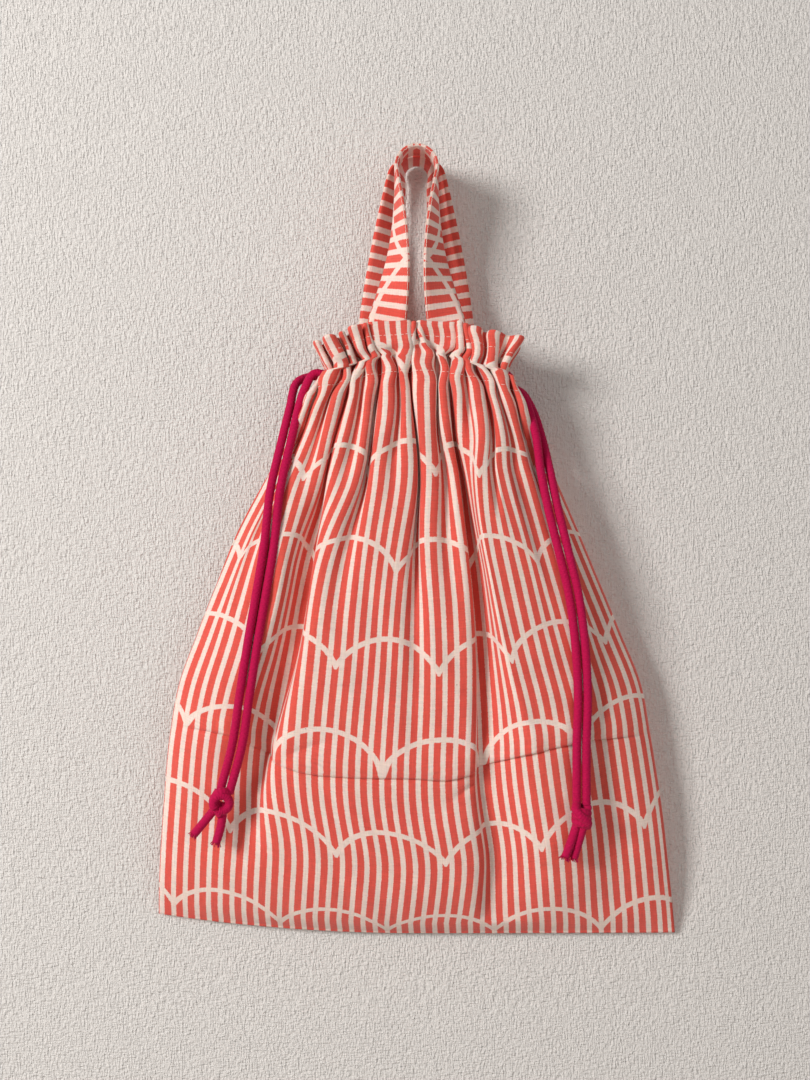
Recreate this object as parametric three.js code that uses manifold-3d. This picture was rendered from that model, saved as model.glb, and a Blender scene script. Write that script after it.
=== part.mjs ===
// Kinchaku: a drawstring pouch of printed cotton canvas, drawn shut and hung by its handles.
// Millimetres, +Z up, the front faces -Y. The origin is the underside of the handles' tops,
// where the hook bears.
import * as THREE from "three";
import Module from "manifold-3d";

// The cloth lying flat, and the same cloth drawn up.
const FLAT_WIDTH = 300;
const FLAT_HEIGHT = 352;
const CLOTH = 0.8;
const NECK_WIDTH = 103;
const NECK_DROOP = 13;
const SHOULDER_CURVE = 1.05;
const SEAM_GAP = 0.3;

// The hem: a frill above the cord channel, and the channel between two rows of stitching.
const FRILL = 8.5;
const CHANNEL = 20;
const FRILL_FLARE = 4;
const MOUTH_GAP = 10;

// The panels swell out from the side seams, the front more than the back. The bottom edge is set back.
const FRONT_SWELL = 23;
const BACK_SWELL = 14.5;
const BOTTOM_ROUND = 100;
const BASE_SET_BACK = 14;
const SET_BACK_RUN = 55;
const SLIT_EASE = 30;
const CREASE_HEIGHT = 90;
const CREASE_DEPTH = 2;
const CORNER_LIFT = 11;

// Gathers at the neck: the places of their valleys across the cloth, from -1 at the left to 1 at the right.
const GATHER_RUN = 95;
const FRONT_GATHERS = [-1.17, -0.83, -0.6, -0.35, -0.04, 0.16, 0.35, 0.58, 0.83, 1.17];
const BACK_GATHERS = [-1.08, -0.93, -0.78, -0.63, -0.48, -0.26, 0, 0.26, 0.48, 0.63, 0.78, 0.93, 1.08];

// The broad folds the gathers run out into, placed in the same way. reach is half the width of a fold,
// depth how far it goes in and foot the height at which it runs out.
const FRONT_FOLDS = [
  { at: -0.57, reach: 0.1, depth: 12, foot: 65 },
  { at: 0.31, reach: 0.09, depth: 11, foot: 30 },
];
const BACK_FOLD_PLACES = [-0.85, -0.66, -0.47, -0.28, -0.09, 0.09, 0.28, 0.47, 0.66, 0.85];
const BACK_FOLDS = BACK_FOLD_PLACES.map((at) => ({ at, reach: 0.055, depth: 6, foot: 40 }));

// Handles: two straps, each turned edge-on where it goes over the hook.
const HANDLE_RISE = 98;
const HANDLE_WIDTH = 22;
const HANDLE_THICK = 2.2;
const HANDLE_SEAT = 7;
const EYE_RADIUS = 10.5;
const FRONT_LEGS = { spacing: 34, pinch: 4, twist: 0.65 };
const BACK_LEGS = { spacing: 46, pinch: 0, twist: 2.2 };
const STRAP_GAP = 1;

// Drawcords, with the knot and tails at each side.
const CORD = 5;
const CLEAR = 0.3;
const KNOT_WIDTH = 13;
const KNOT_HEIGHT = 12;
const TAIL = 18;

const HALF = FLAT_WIDTH / 2;
const HEM_TOP = -HANDLE_RISE;
const CHANNEL_V = FLAT_HEIGHT - FRILL - CHANNEL / 2;
const CHANNEL_Z = HEM_TOP - FRILL - CHANNEL / 2;
const UPPER_ROW_Z = HEM_TOP - FRILL;
const LOWER_ROW_Z = UPPER_ROW_Z - CHANNEL;

// How far each layer at the neck stands from the middle of the mouth.
const LINING_Y = MOUTH_GAP / 2 + CLOTH / 2;
const CORD_Y = MOUTH_GAP / 2 + CLOTH + CLEAR + CORD / 2;
const NECK_Y = CORD_Y + CORD / 2 + CLEAR + CLOTH / 2;
const HEM_Y = NECK_Y - 0.6 * CLOTH;
const SEAT_Y = HEM_Y - CLOTH / 2 - CLEAR - HANDLE_THICK / 2;
const SEAM_Y = (CLOTH + SEAM_GAP) / 2;

const { Manifold, Mesh } = await loadManifold();

const printedCotton = new THREE.MeshStandardMaterial({ color: 0xe8917f, roughness: 0.9, metalness: 0 });
const braidedCord = new THREE.MeshStandardMaterial({ color: 0xce1250, roughness: 0.8, metalness: 0 });

async function loadManifold() {
  const library = await Module();
  library.setup();
  return library;
}

function ease(from, to, value) {
  const t = THREE.MathUtils.clamp((value - from) / (to - from), 0, 1);
  return t * t * (3 - 2 * t);
}

function named(name, geometry, material) {
  const mesh = new THREE.Mesh(geometry, material.clone());
  mesh.name = name;
  return mesh;
}

// Half the width across at height v on the cloth, from the bottom edge up.
function halfWidth(v) {
  if (v >= CHANNEL_V) {
    return NECK_WIDTH / 2 + (FRILL_FLARE * (v - CHANNEL_V)) / (FLAT_HEIGHT - CHANNEL_V);
  }
  const t = (1 - v / CHANNEL_V) ** SHOULDER_CURVE;
  return NECK_WIDTH / 2 + (HALF - NECK_WIDTH / 2) * Math.sin((Math.PI / 2) * t);
}

// Depth of a wave that takes up the cloth left over at height v.
function waveDepth(v, count) {
  const ratio = HALF / halfWidth(v);
  const slope = Math.sqrt(Math.max(ratio * ratio - 1, 0)) / 0.64;
  return (slope * halfWidth(v)) / (Math.PI * count);
}

// The gathers across the cloth: 0 in each valley and 2 on the crests between.
function gatherWave(valleys, across) {
  const next = Math.max(1, valleys.findIndex((place) => place > across));
  const share = (across - valleys[next - 1]) / (valleys[next] - valleys[next - 1]);
  return 1 - Math.cos(2 * Math.PI * share);
}

// A point on the middle of a panel's cloth, across from -1 to 1 and v up from the bottom edge.
function panelPoint(panel, across, v) {
  const lowerRow = CHANNEL_V - CHANNEL / 2;
  const gathered = ease(lowerRow - GATHER_RUN, lowerRow, v);
  const pleat = gathered * waveDepth(v, panel.gathers.length - 2);
  const wave = gatherWave(panel.gathers, across);
  let fold = CREASE_DEPTH * Math.exp(-(((v - CREASE_HEIGHT) / 7) ** 2));
  for (const { at, reach, depth, foot } of panel.folds) {
    const strength = (1 - gathered) * ease(foot - 30, foot + 30, v);
    fold += strength * depth * Math.exp(-(((across - at) / reach) ** 2));
  }
  const body = (panel.swell - fold - pleat * (2 - wave)) * Math.min(1, v / BOTTOM_ROUND) ** 0.33;
  const neck = NECK_Y + pleat * wave;
  const drawn = THREE.MathUtils.lerp(body, neck, ease(lowerRow - 50, lowerRow - 5, v));
  const sewn = 1 - ease(lowerRow - SLIT_EASE, lowerRow - 2, v);
  const open = 1 - sewn * (1 - (1 - Math.abs(across) ** 3) ** 0.8);
  const depth = SEAM_Y + Math.max(0, drawn - SEAM_Y) * open;
  const setBack = BASE_SET_BACK * (1 - Math.min(1, v / SET_BACK_RUN)) ** 2;
  const rise = Math.min(v / CHANNEL_V, 1);
  const lift = CORNER_LIFT * Math.max(0, -across) ** 2 * (1 - rise);
  const z = HEM_TOP - (FLAT_HEIGHT - v) - NECK_DROOP * rise * across * across + lift;
  return new THREE.Vector3(halfWidth(v) * across, panel.side * depth + setBack, z);
}

// The hem turned down inside: a band from the frill's edge down behind the cords to the lower stitching.
function hemPoint(side, across, step) {
  const edges = [
    [HEM_Y, HEM_TOP - 0.5],
    [HEM_Y, UPPER_ROW_Z],
    [LINING_Y, CHANNEL_Z + CORD + 3 * CLEAR],
    [LINING_Y, CHANNEL_Z - CORD - 3 * CLEAR],
    [HEM_Y, LOWER_ROW_Z - 2],
  ];
  const [depth, z] = edges[step];
  const inset = depth === LINING_Y ? 9 : 1;
  const x = across * (NECK_WIDTH / 2 - inset);
  return new THREE.Vector3(x, side * depth, z - NECK_DROOP * (x / (NECK_WIDTH / 2)) ** 2);
}

// Cloth of a given thickness over a grid of points.
function thickSheet(pointAt, columns, rows, thickness) {
  const grid = [];
  for (let j = 0; j <= rows; j += 1) {
    for (let i = 0; i <= columns; i += 1) {
      grid.push(pointAt(i, j));
    }
  }
  const at = (i, j) => grid[j * (columns + 1) + i];
  const count = grid.length;
  const faceA = new Array(count);
  const faceB = new Array(count);
  for (let j = 0; j <= rows; j += 1) {
    for (let i = 0; i <= columns; i += 1) {
      const along = at(Math.min(i + 1, columns), j).clone().sub(at(Math.max(i - 1, 0), j));
      const up = at(i, Math.min(j + 1, rows)).clone().sub(at(i, Math.max(j - 1, 0)));
      const normal = along.cross(up).setLength(thickness / 2);
      faceA[j * (columns + 1) + i] = at(i, j).clone().add(normal);
      faceB[j * (columns + 1) + i] = at(i, j).clone().sub(normal);
    }
  }
  const index = [];
  const quad = (a, b, c, d) => index.push(a, b, c, a, c, d);
  for (let j = 0; j < rows; j += 1) {
    for (let i = 0; i < columns; i += 1) {
      const a = j * (columns + 1) + i;
      const d = a + columns + 1;
      quad(a, a + 1, d + 1, d);
      quad(count + a, count + d, count + d + 1, count + a + 1);
    }
  }
  const rim = [];
  for (let i = 0; i < columns; i += 1) {
    rim.push(i);
  }
  for (let j = 0; j < rows; j += 1) {
    rim.push(j * (columns + 1) + columns);
  }
  for (let i = columns; i > 0; i -= 1) {
    rim.push(rows * (columns + 1) + i);
  }
  for (let j = rows; j > 0; j -= 1) {
    rim.push(j * (columns + 1));
  }
  rim.forEach((a, k) => {
    const b = rim[(k + 1) % rim.length];
    quad(a, count + a, count + b, b);
  });
  return closedGeometry([...faceA, ...faceB], index);
}

function closedGeometry(points, index) {
  const geometry = new THREE.BufferGeometry();
  geometry.setFromPoints(points);
  geometry.setIndex(index);
  geometry.computeVertexNormals();
  return geometry;
}

function toSolid(geometry) {
  const vertProperties = new Float32Array(geometry.attributes.position.array);
  const triVerts = new Uint32Array(geometry.index.array);
  const mesh = new Mesh({ numProp: 3, vertProperties, triVerts });
  mesh.merge();
  return new Manifold(mesh);
}

function toGeometry(solid) {
  const mesh = solid.getMesh();
  const geometry = new THREE.BufferGeometry();
  geometry.setAttribute("position", new THREE.BufferAttribute(new Float32Array(mesh.vertProperties), 3));
  geometry.setIndex(new THREE.BufferAttribute(new Uint32Array(mesh.triVerts), 1));
  geometry.computeVertexNormals();
  return geometry;
}

// Rows of the panel's grid: round the bottom, one at the crease, then closer towards the hem.
function panelRows() {
  const lowerRow = CHANNEL_V - CHANNEL / 2;
  const rows = [0, 0.03, 0.08, 0.17, 0.3, 0.46, 0.64].map((part) => part * BOTTOM_ROUND);
  rows.push(CREASE_HEIGHT - 8, CREASE_HEIGHT);
  const bodySteps = 9;
  for (let k = 0; k <= bodySteps; k += 1) {
    rows.push(THREE.MathUtils.lerp(CREASE_HEIGHT + 8, lowerRow, Math.sin(((Math.PI / 2) * k) / bodySteps)));
  }
  rows.push(CHANNEL_V, CHANNEL_V + CHANNEL / 2, FLAT_HEIGHT);
  return rows;
}

function buildPanel(panel) {
  const rows = panelRows();
  const columns = 60;
  const acrossAt = (i, count) => panel.side * (1 - (2 * i) / count);
  const clothPoint = (i, j) => panelPoint(panel, acrossAt(i, columns), rows[j]);
  const outer = thickSheet(clothPoint, columns, rows.length - 1, CLOTH);
  const hemColumns = 12;
  const bandPoint = (i, j) => hemPoint(panel.side, acrossAt(i, hemColumns), 4 - j);
  const hem = thickSheet(bandPoint, hemColumns, 4, CLOTH);
  return toGeometry(toSolid(outer).add(toSolid(hem)));
}

// One leg of a handle from its seat in the hem up to the eye. t runs from 0 at the hem to 1 at the eye.
function legPoint(legs, t) {
  const radius = EYE_RADIUS + HANDLE_THICK / 2;
  const eyeZ = HANDLE_THICK / 2 - radius;
  const topY = (HANDLE_WIDTH + STRAP_GAP) / 2;
  const x = THREE.MathUtils.lerp(legs.spacing / 2, radius, t) - legs.pinch * Math.sin(Math.PI * t);
  const y = THREE.MathUtils.lerp(SEAT_Y, topY, Math.sin((Math.PI / 2) * t));
  return new THREE.Vector3(x, y, THREE.MathUtils.lerp(HEM_TOP, eyeZ, t));
}

// Stations of a handle from the left seat over the eye to the right seat: the middle of the strap
// and the turn of its width, 0 facing the front at the left seat to 180 degrees at the right one.
function handleStations(legs) {
  const radius = EYE_RADIUS + HANDLE_THICK / 2;
  const left = [{ point: legPoint(legs, 0).setZ(HEM_TOP - HANDLE_SEAT), turn: 0 }];
  const legSteps = 9;
  for (let k = 0; k < legSteps; k += 1) {
    const t = k / legSteps;
    left.push({ point: legPoint(legs, t), turn: (Math.PI / 2) * t ** legs.twist });
  }
  left.forEach((station) => station.point.set(-station.point.x, station.point.y, station.point.z));
  const eye = legPoint(legs, 1);
  const arcSteps = 10;
  const arc = [];
  for (let k = 0; k <= arcSteps; k += 1) {
    const angle = (Math.PI * k) / arcSteps;
    const lift = new THREE.Vector3(-radius * Math.cos(angle), eye.y, eye.z + radius * Math.sin(angle));
    arc.push({ point: lift, turn: Math.PI / 2 });
  }
  const right = left.map(({ point, turn }) => ({
    point: new THREE.Vector3(-point.x, point.y, point.z),
    turn: Math.PI - turn,
  }));
  return [...left, ...arc, ...right.reverse()];
}

function buildHandle(side, legs) {
  const stations = handleStations(legs);
  const points = [];
  const last = stations.length - 1;
  stations.forEach(({ point, turn }, k) => {
    const before = stations[Math.max(k - 1, 0)].point;
    const after = stations[Math.min(k + 1, last)].point;
    const tangent = after.clone().sub(before).normalize();
    const wide = new THREE.Vector3(Math.cos(turn), Math.sin(turn), 0);
    wide.addScaledVector(tangent, -wide.dot(tangent)).setLength(HANDLE_WIDTH / 2);
    const thick = tangent.clone().cross(wide).setLength(HANDLE_THICK / 2);
    for (const [w, n] of [[-1, -1], [1, -1], [1, 1], [-1, 1]]) {
      const corner = point.clone().addScaledVector(wide, w).addScaledVector(thick, n);
      corner.y *= side;
      points.push(corner);
    }
  });
  const index = [];
  const quad = (a, b, c, d) => (side < 0 ? index.push(a, c, b, a, d, c) : index.push(a, b, c, a, c, d));
  for (let k = 0; k < last; k += 1) {
    for (let e = 0; e < 4; e += 1) {
      const next = (e + 1) % 4;
      quad(4 * k + e, 4 * k + next, 4 * (k + 1) + next, 4 * (k + 1) + e);
    }
  }
  quad(3, 2, 1, 0);
  quad(4 * last, 4 * last + 1, 4 * last + 2, 4 * last + 3);
  return closedGeometry(points, index);
}

// The hanging part of each strand, from its channel's end to the knot, as steps from that end.
const LEFT_FRONT_STRAND = [
  [-7, -1, 0],
  [-12.5, -3, -9.4],
  [-20, -6, -39.4],
  [-25.7, -9, -66.7],
  [-28.9, -11.5, -97.7],
  [-33.9, -13, -128.6],
  [-38.1, -14, -153.9],
  [-42.4, -14.3, -182.1],
  [-46.6, -14.3, -210.2],
  [-53.9, -13.5, -237.3],
];
const LEFT_BACK_STRAND = [
  [-8, -2, 0.5],
  [-17.5, -9, -4],
  [-21, -17, -19.4],
  [-25.6, -22.5, -40.4],
  [-31.2, -26.2, -66.4],
  [-34.5, -28.7, -97.4],
  [-39.4, -30.2, -128.4],
  [-43.6, -31.2, -153.4],
  [-47.9, -31.5, -181.4],
  [-52.1, -31.5, -209.4],
  [-58.9, -30.7, -235.7],
];
const RIGHT_FRONT_STRAND = [
  [8.5, -1, -6],
  [15.8, -4, -27],
  [18.8, -7.5, -49.6],
  [23, -10, -72.2],
  [29, -12, -97.5],
  [34.1, -13.5, -120],
  [37.6, -14.5, -148.1],
  [39, -15.3, -176.3],
  [38.2, -15.8, -204.4],
  [38.2, -15.8, -237.3],
];
const RIGHT_BACK_STRAND = [
  [9, -2, -2.6],
  [15.5, -8, -13.6],
  [21, -15, -32.6],
  [24.3, -22.5, -50.1],
  [28.6, -26.5, -72.2],
  [34.5, -29.2, -97.6],
  [39.5, -30.7, -120],
  [43, -31.7, -148.1],
  [44.4, -32.5, -176.3],
  [43.6, -33, -204.4],
  [43.6, -33, -237.3],
];

// A cord's whole run: up one strand, along the front channel, round the far side and back.
function cordRun(side, frontStrand, backStrand) {
  const lift = -side * (CORD / 2 + 1.5 * CLEAR);
  const archZ = (x) => CHANNEL_Z + lift - NECK_DROOP * (x / (NECK_WIDTH / 2)) ** 2;
  const end = NECK_WIDTH / 2;
  const turnX = end - 6;
  const hung = (strand, y) => strand.map(([dx, dy, dz]) =>
    new THREE.Vector3(side * end + dx, y + dy, archZ(end) + dz));
  const points = hung(frontStrand, -CORD_Y).reverse();
  for (let k = 0; k <= 6; k += 1) {
    const x = THREE.MathUtils.lerp(side * end, -side * turnX, k / 6);
    points.push(new THREE.Vector3(x, -CORD_Y, archZ(x)));
  }
  for (let k = 1; k < 4; k += 1) {
    const angle = (Math.PI * k) / 4;
    const x = -side * (turnX + CORD_Y * Math.sin(angle));
    points.push(new THREE.Vector3(x, -CORD_Y * Math.cos(angle), archZ(x)));
  }
  for (let k = 0; k <= 6; k += 1) {
    const x = THREE.MathUtils.lerp(-side * turnX, side * end, k / 6);
    points.push(new THREE.Vector3(x, CORD_Y, archZ(x)));
  }
  points.push(...hung(backStrand, CORD_Y));
  return points;
}

function roundSection(diameter, sides) {
  const shape = new THREE.Shape();
  shape.absarc(0, 0, diameter / 2, 0, 2 * Math.PI, false);
  return new THREE.Shape(shape.getSpacedPoints(sides).slice(0, sides));
}

function buildTube(points, diameter, steps) {
  const extrudePath = new THREE.CatmullRomCurve3(points, false, "centripetal");
  return new THREE.ExtrudeGeometry(roundSection(diameter, 8), { steps, extrudePath, curveSegments: 8 });
}

// The knot closes both strands of a cord: a short barrel with the two tails out of its lower end.
function buildKnot(run, tailSpread) {
  const first = run[0];
  const lastPoint = run[run.length - 1];
  const middle = first.clone().add(lastPoint).multiplyScalar(0.5);
  const down = first.clone().sub(run[1]).add(lastPoint).sub(run[run.length - 2]).normalize();
  const r = KNOT_WIDTH / 2;
  const h = KNOT_HEIGHT / 2;
  const profile = [[0, -h], [0.75 * r, -h], [r, -0.45 * h], [r, 0.45 * h], [0.85 * r, h], [0, h]];
  const barrel = new THREE.LatheGeometry(profile.map(([a, b]) => new THREE.Vector2(a, b)), 14);
  const turn = new THREE.Quaternion().setFromUnitVectors(new THREE.Vector3(0, -1, 0), down);
  const centre = middle.clone().addScaledVector(down, h + CLEAR);
  barrel.applyQuaternion(turn);
  barrel.translate(centre.x, centre.y, centre.z);
  let solid = toSolid(welded(barrel));
  for (const [dx, dy] of tailSpread) {
    const inset = new THREE.Vector3(0.15 * dx, 0.3 * dy, 0);
    const start = centre.clone().add(inset).addScaledVector(down, 0.3 * h);
    const mid = start.clone().add(new THREE.Vector3(0.4 * dx, 0.6 * dy, 0)).addScaledVector(down, h);
    const tip = start.clone().add(new THREE.Vector3(dx, dy, 0)).addScaledVector(down, 0.7 * h + TAIL);
    solid = solid.add(toSolid(welded(buildTube([start, mid, tip], CORD, 5))));
  }
  return toGeometry(solid);
}

// Index a mesh by position, so that shared corners are one vertex.
function welded(source) {
  const soup = source.index ? source.toNonIndexed() : source;
  const position = soup.attributes.position;
  const points = [];
  const seen = new Map();
  const index = [];
  for (let i = 0; i < position.count; i += 1) {
    const point = new THREE.Vector3().fromBufferAttribute(position, i);
    const key = [point.x, point.y, point.z].map((value) => Math.round(value * 1000)).join(",");
    if (!seen.has(key)) {
      seen.set(key, points.length);
      points.push(point);
    }
    index.push(seen.get(key));
  }
  const faces = [];
  for (let i = 0; i < index.length; i += 3) {
    const [a, b, c] = index.slice(i, i + 3);
    if (a !== b && b !== c && c !== a) {
      faces.push(a, b, c);
    }
  }
  return closedGeometry(points, faces);
}

const frontPanel = { side: -1, swell: FRONT_SWELL, gathers: FRONT_GATHERS, folds: FRONT_FOLDS };
const backPanel = { side: 1, swell: BACK_SWELL, gathers: BACK_GATHERS, folds: BACK_FOLDS };
const leftRun = cordRun(-1, LEFT_FRONT_STRAND, LEFT_BACK_STRAND);
const rightRun = cordRun(1, RIGHT_FRONT_STRAND, RIGHT_BACK_STRAND);

const pouch = new THREE.Group();
pouch.name = "kinchaku_pouch";
pouch.add(
  named("front_panel", buildPanel(frontPanel), printedCotton),
  named("back_panel", buildPanel(backPanel), printedCotton),
  named("front_handle", buildHandle(-1, FRONT_LEGS), printedCotton),
  named("back_handle", buildHandle(1, BACK_LEGS), printedCotton),
  named("left_drawcord", buildTube(leftRun, CORD, 84), braidedCord),
  named("right_drawcord", buildTube(rightRun, CORD, 84), braidedCord),
  named("left_knot", buildKnot(leftRun, [[-8, -3], [3, 1]]), braidedCord),
  named("right_knot", buildKnot(rightRun, [[-9.3, -2.8], [-4.3, 2.8]]), braidedCord),
);

export default pouch;
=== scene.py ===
import math

import bpy
import numpy as np
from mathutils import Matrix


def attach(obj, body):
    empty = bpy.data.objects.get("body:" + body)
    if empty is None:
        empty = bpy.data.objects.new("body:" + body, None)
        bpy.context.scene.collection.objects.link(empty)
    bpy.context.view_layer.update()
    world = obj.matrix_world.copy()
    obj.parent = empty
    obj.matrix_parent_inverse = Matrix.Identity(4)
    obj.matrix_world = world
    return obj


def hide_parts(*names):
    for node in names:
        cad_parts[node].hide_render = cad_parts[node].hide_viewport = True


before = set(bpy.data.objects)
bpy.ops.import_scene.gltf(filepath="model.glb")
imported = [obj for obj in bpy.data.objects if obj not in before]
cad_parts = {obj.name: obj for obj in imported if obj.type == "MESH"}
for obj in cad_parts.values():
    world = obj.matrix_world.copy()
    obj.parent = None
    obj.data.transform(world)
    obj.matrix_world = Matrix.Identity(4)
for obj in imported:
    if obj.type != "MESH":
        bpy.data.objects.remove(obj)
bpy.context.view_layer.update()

MM = 0.001

# Sizes, in mm, as in the part's source
FLAT_HALF = 150.0
NECK_HALF = 51.5
NECK_DROOP = 13.0
HEM_TOP = -98.0
CHANNEL_Z = -116.5
FRILL_FLARE = 4.0
NECK_Y = 11.8
LINING_Y = 5.4
CORD_Y = 8.6
SEAM_Y = 0.55
CLOTH = 0.8
HANDLE_WIDTH = 22.0
HANDLE_THICK = 2.2
HANDLE_SEAT = 7.0
EYE_RADIUS = 11.6
SEAT_Y = 9.52
STRAP_Y = 11.5
CORD = 5.0
CORD_OFF_CHANNEL = 2.95
CORD_TURN = 6.0

# Places on the cloth in mm, measured up from the bottom fold along the cloth itself.
W_LOWER_ROW = 347.0
W_CHANNEL = 357.0
W_FRILL = 361.0
W_UPPER_ROW = 367.0
W_TOP = 376.0
W_FACING = 406.0

# The print, in mm. A scallop's row starts a margin below its cusps, so that no line is cut there.
STRIPE_PITCH = 6.9
BARE_STRIPE = 2.9
STRIPE_BLEED = 0.24
SCALLOP_CHORD = 62.0
SCALLOP_RISE = 18.5
SCALLOP_LINE = 3.0
SCALLOP_BLEED = 0.25
SCALLOP_ROWS = 57.0
ROW_MARGIN = 2.0
FIRST_ROW = 4.0
FIRST_CUSP = -17.0

rng = np.random.default_rng(11)


# Small helpers
def ease(start, end, value):
    """0 before the start, 1 after the end, and a smooth rise between."""
    t = np.clip((value - start) / (end - start), 0, 1)
    return t * t * (3 - 2 * t)


def bell(value, height, middle, width):
    """A rounded hump."""
    return height * np.exp(-(((value - middle) / width) ** 2))


def smooth(points, x):
    """A smooth curve through given (x, y) pairs."""
    xs, ys = np.array(points, float).T
    x = np.clip(x, xs[0], xs[-1])
    slopes = np.gradient(ys, xs)
    k = np.clip(np.searchsorted(xs, x) - 1, 0, len(xs) - 2)
    h = xs[k + 1] - xs[k]
    t = (x - xs[k]) / h
    start = (1 + 2 * t) * (1 - t) ** 2 * ys[k] + t * (1 - t) ** 2 * h * slopes[k]
    end = t * t * (3 - 2 * t) * ys[k + 1] + t * t * (t - 1) * h * slopes[k + 1]
    return start + end


def ripples(u, w, count, longest, shortest):
    """Gentle random waves over the cloth, about 1 high."""
    total = np.zeros(np.broadcast(u, w).shape)
    for _ in range(count):
        length = rng.uniform(shortest, longest)
        angle = rng.uniform(0, math.pi)
        phase = rng.uniform(0, 2 * math.pi)
        total += np.sin(2 * math.pi * (u * math.cos(angle) + w * math.sin(angle)) / length + phase)
    return total / math.sqrt(count / 2)


def unit(vectors):
    """The directions of vectors, or of one vector."""
    return vectors / np.linalg.norm(vectors, axis=-1, keepdims=True)


def run_along(line):
    """How far along a line each of its points is."""
    return np.concatenate([[0], np.cumsum(np.linalg.norm(np.diff(line, axis=0), axis=1))])


def make_object(name, points, faces, uvs=None):
    """A smooth-shaded mesh from points in mm. uvs, in mm, are one per point."""
    mesh = bpy.data.meshes.new(name)
    mesh.from_pydata((np.asarray(points) * MM).tolist(), [], faces)
    if uvs is not None:
        layer = mesh.uv_layers.new(name="cloth")
        loops = np.empty(len(mesh.loops), np.int32)
        mesh.loops.foreach_get("vertex_index", loops)
        layer.data.foreach_set("uv", (np.asarray(uvs)[loops] * MM).ravel())
    mesh.polygons.foreach_set("use_smooth", [True] * len(mesh.polygons))
    made = bpy.data.objects.new(name, mesh)
    bpy.context.scene.collection.objects.link(made)
    return made


def grid_faces(rows, columns, flip):
    """The faces of an open sheet."""
    faces = []
    for j in range(rows - 1):
        for i in range(columns - 1):
            a = j * columns + i
            quad = (a, a + 1, a + columns + 1, a + columns)
            faces.append(quad[::-1] if flip else quad)
    return faces


def sleeve_faces(rows, columns):
    """The faces round a closed tube, without its ends."""
    faces = []
    for j in range(rows - 1):
        for i in range(columns):
            k = (i + 1) % columns
            a = j * columns
            faces.append((a + i, a + k, a + columns + k, a + columns + i))
    return faces


def finish_piece(made, material, slot, *nodes):
    """Gives a piece its material and body, and hides the solids it stands for. Its slot is not used."""
    made.data.materials.append(material)
    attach(made, "root")
    if nodes:
        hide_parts(*nodes)
    return made


# Materials

# Sizes of the finishes, in mm. The yarns of the weave are too fine to show in the render, so the
# grain of the canvas is drawn as coarse as it needs to be.
YARN_SPACING = 0.55
CANVAS_GRAIN = 0.67
YARN_RUN = 8.0
CANVAS_RELIEF = 0.3
SLUB = 2.4
INK_EDGE = 1.1
INK_WOBBLE = 0.7
INK_PATCH = 16.5
FLECK_SPACING = 18.0
FLECK_CORE = 0.252
FLECK_RIM = 0.54
BRAID_PITCH = 1.3
BRAID_FUZZ = 1.4
BRAID_RELIEF = 0.4
WALL_THREAD = 1.1
WALL_RUN = 3.5
WALL_RELIEF = 2.0

# The canvas grain runs from thin to thick yarns, which are this much darker and lighter.
THIN_YARN = 0.6
THICK_YARN = 1.4
DARK_YARN = 0.84
LIGHT_YARN = 1.12

# How much of a fleck's colour shows, and how much of each relief the weave and the braid's ribs make.
FLECK_SHARE = 0.55
WEAVE_SHARE = 0.4
RIB_SHARE = 0.3

# Light goes through the backdrop over this distance, and only above this height, in mm.
CLEAR_WITHIN = 30.0
CLEAR_ABOVE = -700.0


def colour(text):
    """An sRGB hex colour as linear RGBA."""
    parts = [int(text[k:k + 2], 16) / 255 for k in (0, 2, 4)]
    linear = [p / 12.92 if p <= 0.04045 else ((p + 0.055) / 1.055) ** 2.4 for p in parts]
    return (*linear, 1.0)


def per_metre(size):
    """The scale of a pattern whose grains are this big, in mm."""
    return 1 / (size * MM)


def add(tree, kind, out, inputs, **settings):
    """Adds a node with its settings and links and gives one of its outputs. An input is a number, a
    colour or another node's output. A colour Mix has its share at 0, its colours at 6 and 7 and its
    result at 2; a MapRange goes from the range at 1 and 2 to the one at 3 and 4."""
    made = tree.nodes.new("ShaderNode" + kind)
    for key, value in settings.items():
        setattr(made, key, value)
    for key, value in inputs.items():
        if isinstance(value, bpy.types.NodeSocket):
            tree.links.new(value, made.inputs[key])
        else:
            made.inputs[key].default_value = value
    return made.outputs[out]


def new_material(name, sockets):
    """A material with the shader's own sockets set."""
    made = bpy.data.materials.new(name)
    made.use_nodes = True
    shader = made.node_tree.nodes["Principled BSDF"]
    for key, value in sockets.items():
        shader.inputs[key].default_value = value
    return made, made.node_tree, shader


def bare_stripes(tree, from_cusp):
    """The stripes that the ink leaves bare, by how far a place is from the middle of the nearest."""
    off = add(tree, "Math", 0, {0: from_cusp, 1: STRIPE_PITCH / 2}, operation="PINGPONG")
    edge = BARE_STRIPE / 2
    return add(tree, "MapRange", 0, {
        0: off, 1: edge - STRIPE_BLEED, 2: edge + STRIPE_BLEED, 3: 1.0, 4: 0.0,
    }, interpolation_type="SMOOTHSTEP")


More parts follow.
